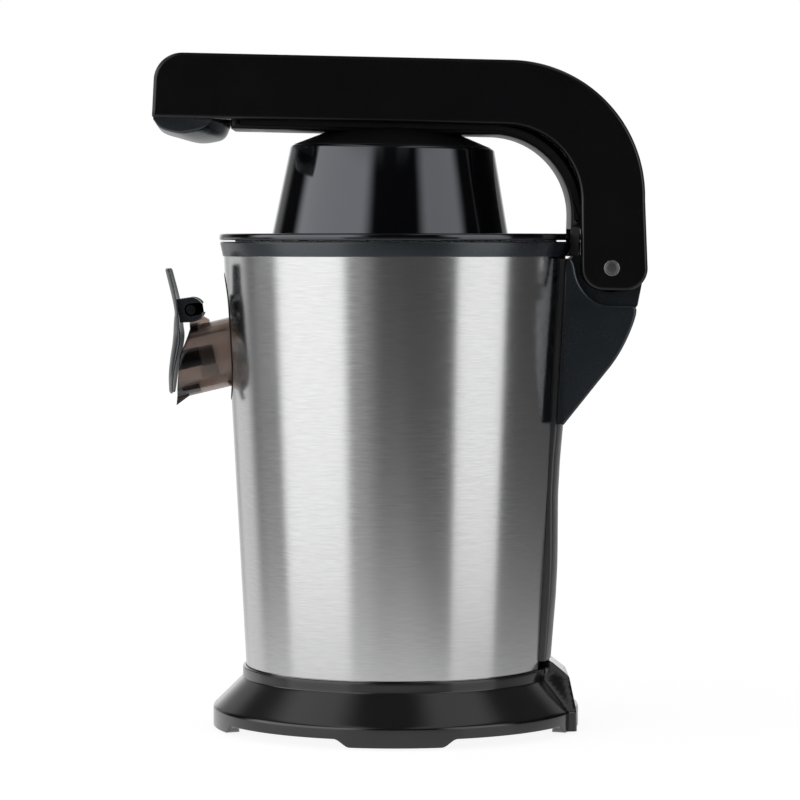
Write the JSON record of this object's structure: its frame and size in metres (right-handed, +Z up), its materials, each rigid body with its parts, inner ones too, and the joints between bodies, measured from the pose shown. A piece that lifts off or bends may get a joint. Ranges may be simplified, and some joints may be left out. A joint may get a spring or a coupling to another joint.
{
  "type": "lever citrus juice press",
  "caption": "Motor-driven citrus juicer: steel tower, hinged lever arm with a press bell over the reamer, front spout with a pivoting drip stop.",
  "frame": {"origin": "point on the floor under the tower's axis, at the centre of the footprint", "axes": "+Z up along the tower's axis, -Y towards the spout, X along the lever's hinge pin"},
  "size_m": [0.183, 0.2433, 0.3348],
  "materials": {
    "base_plastic": "satin black moulding",
    "vent_plastic": "matt black moulding",
    "foot_rubber": "matt black rubber",
    "gasket_silicone": "translucent silicone",
    "brushed_steel": "fine horizontal brushing",
    "anthracite": "satin blue-grey moulding",
    "spine_plastic": "satin black moulding",
    "housing_plastic": "matt black moulding",
    "rim_gloss": "polished black moulding",
    "smoke_plastic": "transparent smoke-brown moulding",
    "arm_plastic": "satin black moulding",
    "cover_plastic": "matt black moulding",
    "cup_plastic": "satin black moulding",
    "reamer_plastic": "satin black moulding",
    "strainer_steel": "pressed stainless sheet",
    "satin_steel": "turned steel",
    "zinc_screws": "zinc-plated steel",
    "bronze": "sintered bronze",
    "motor_steel": "zinc-plated sheet and steel",
    "gear_nylon": "natural nylon",
    "gearbox_plastic": "glass-filled black nylon",
    "switch_plastic": "black moulding",
    "spring_steel": "spring wire"
  },
  "bodies": {
    "housing": {"base_skirt": "base_plastic", "base_plate": "vent_plastic", "feet": "foot_rubber", "base_screws": "zinc_screws", "cord_gland": "foot_rubber", "steel_shell": "brushed_steel", "inner_housing": "housing_plastic", "slot_bezel": "spine_plastic", "top_collar": "anthracite", "bowl_gasket": "gasket_silicone", "rear_spine": "spine_plastic", "hinge_bracket": "anthracite", "hinge_bushes": "bronze", "bracket_screws": "zinc_screws", "juice_bowl": "smoke_plastic", "bowl_rim": "rim_gloss", "pulp_strainer": "strainer_steel", "drip_pin": "spine_plastic", "motor_can": "motor_steel", "stator": "motor_steel", "motor_end_cap": "motor_steel", "gearbox_case": "gearbox_plastic", "gearbox_cover": "gearbox_plastic", "gearbox_screws": "zinc_screws", "spindle_bush": "bronze", "idler_axle": "satin_steel", "shaft_seal": "foot_rubber", "rubber_mounts": "foot_rubber", "support_posts": "motor_steel", "post_screws": "zinc_screws", "terminal_block": "switch_plastic", "switch_body": "switch_plastic", "return_spring": "spring_steel"},
    "lever": {"arm_shell": "arm_plastic", "arm_liner": "cover_plastic", "finger_grip": "anthracite", "arm_screws": "zinc_screws", "hinge_pin": "satin_steel", "press_bell": "rim_gloss", "bell_crown": "cover_plastic", "press_cup": "cup_plastic", "cup_screw": "satin_steel"},
    "drip_flap": {"drip_stop": "anthracite"},
    "thrust": {"thrust_plate": "gearbox_plastic"},
    "spindle": {"drive_shaft": "satin_steel", "output_gear": "gear_nylon", "reamer_cone": "reamer_plastic"},
    "idler": {"idler_gear": "gear_nylon"},
    "rotor": {"motor_pinion": "gear_nylon", "rotor_shaft": "satin_steel", "armature": "motor_steel", "cooling_fan": "gearbox_plastic"},
    "plunger": {"switch_plunger": "switch_plastic"}
  },
  "joints": [
    {"name": "lever_hinge", "type": "hinge", "parent": "housing", "child": "lever", "pos_m": [0, 0.10606, 0.22926], "axis": [-1, 0, 0], "range_deg": [0, 88]},
    {"name": "drip_stop_hinge", "type": "hinge", "parent": "housing", "child": "drip_flap", "pos_m": [0, -0.1017, 0.2084], "axis": [-1, 0, 0], "range_deg": [0, 62]},
    {"name": "reamer_press", "type": "slide", "parent": "housing", "child": "thrust", "axis": [0, 0, -1], "range_m": [0, 0.002], "stiffness_N_per_m": 3000, "springref_m": -0.003, "deforming": ["return_spring"]},
    {"name": "reamer_spin", "type": "hinge", "parent": "thrust", "child": "spindle", "pos_m": [0, 0, 0.2], "axis": [0, 0, 1], "continuous": true},
    {"name": "idler_spin", "type": "hinge", "parent": "housing", "child": "idler", "pos_m": [0, 0.03, 0.12], "axis": [0, 0, 1], "continuous": true},
    {"name": "rotor_spin", "type": "hinge", "parent": "housing", "child": "rotor", "pos_m": [0, 0, 0.07], "axis": [0, 0, 1], "continuous": true},
    {"name": "switch_press", "type": "slide", "parent": "housing", "child": "plunger", "axis": [0, 0, -1], "range_m": [0, 0.002]}
  ],
  "couplings": [
    {"joint": "reamer_spin", "follows": "rotor_spin", "ratio": 0.083333},
    {"joint": "idler_spin", "follows": "rotor_spin", "ratio": -0.25},
    {"joint": "switch_press", "follows": "reamer_press", "ratio": 1}
  ]
}
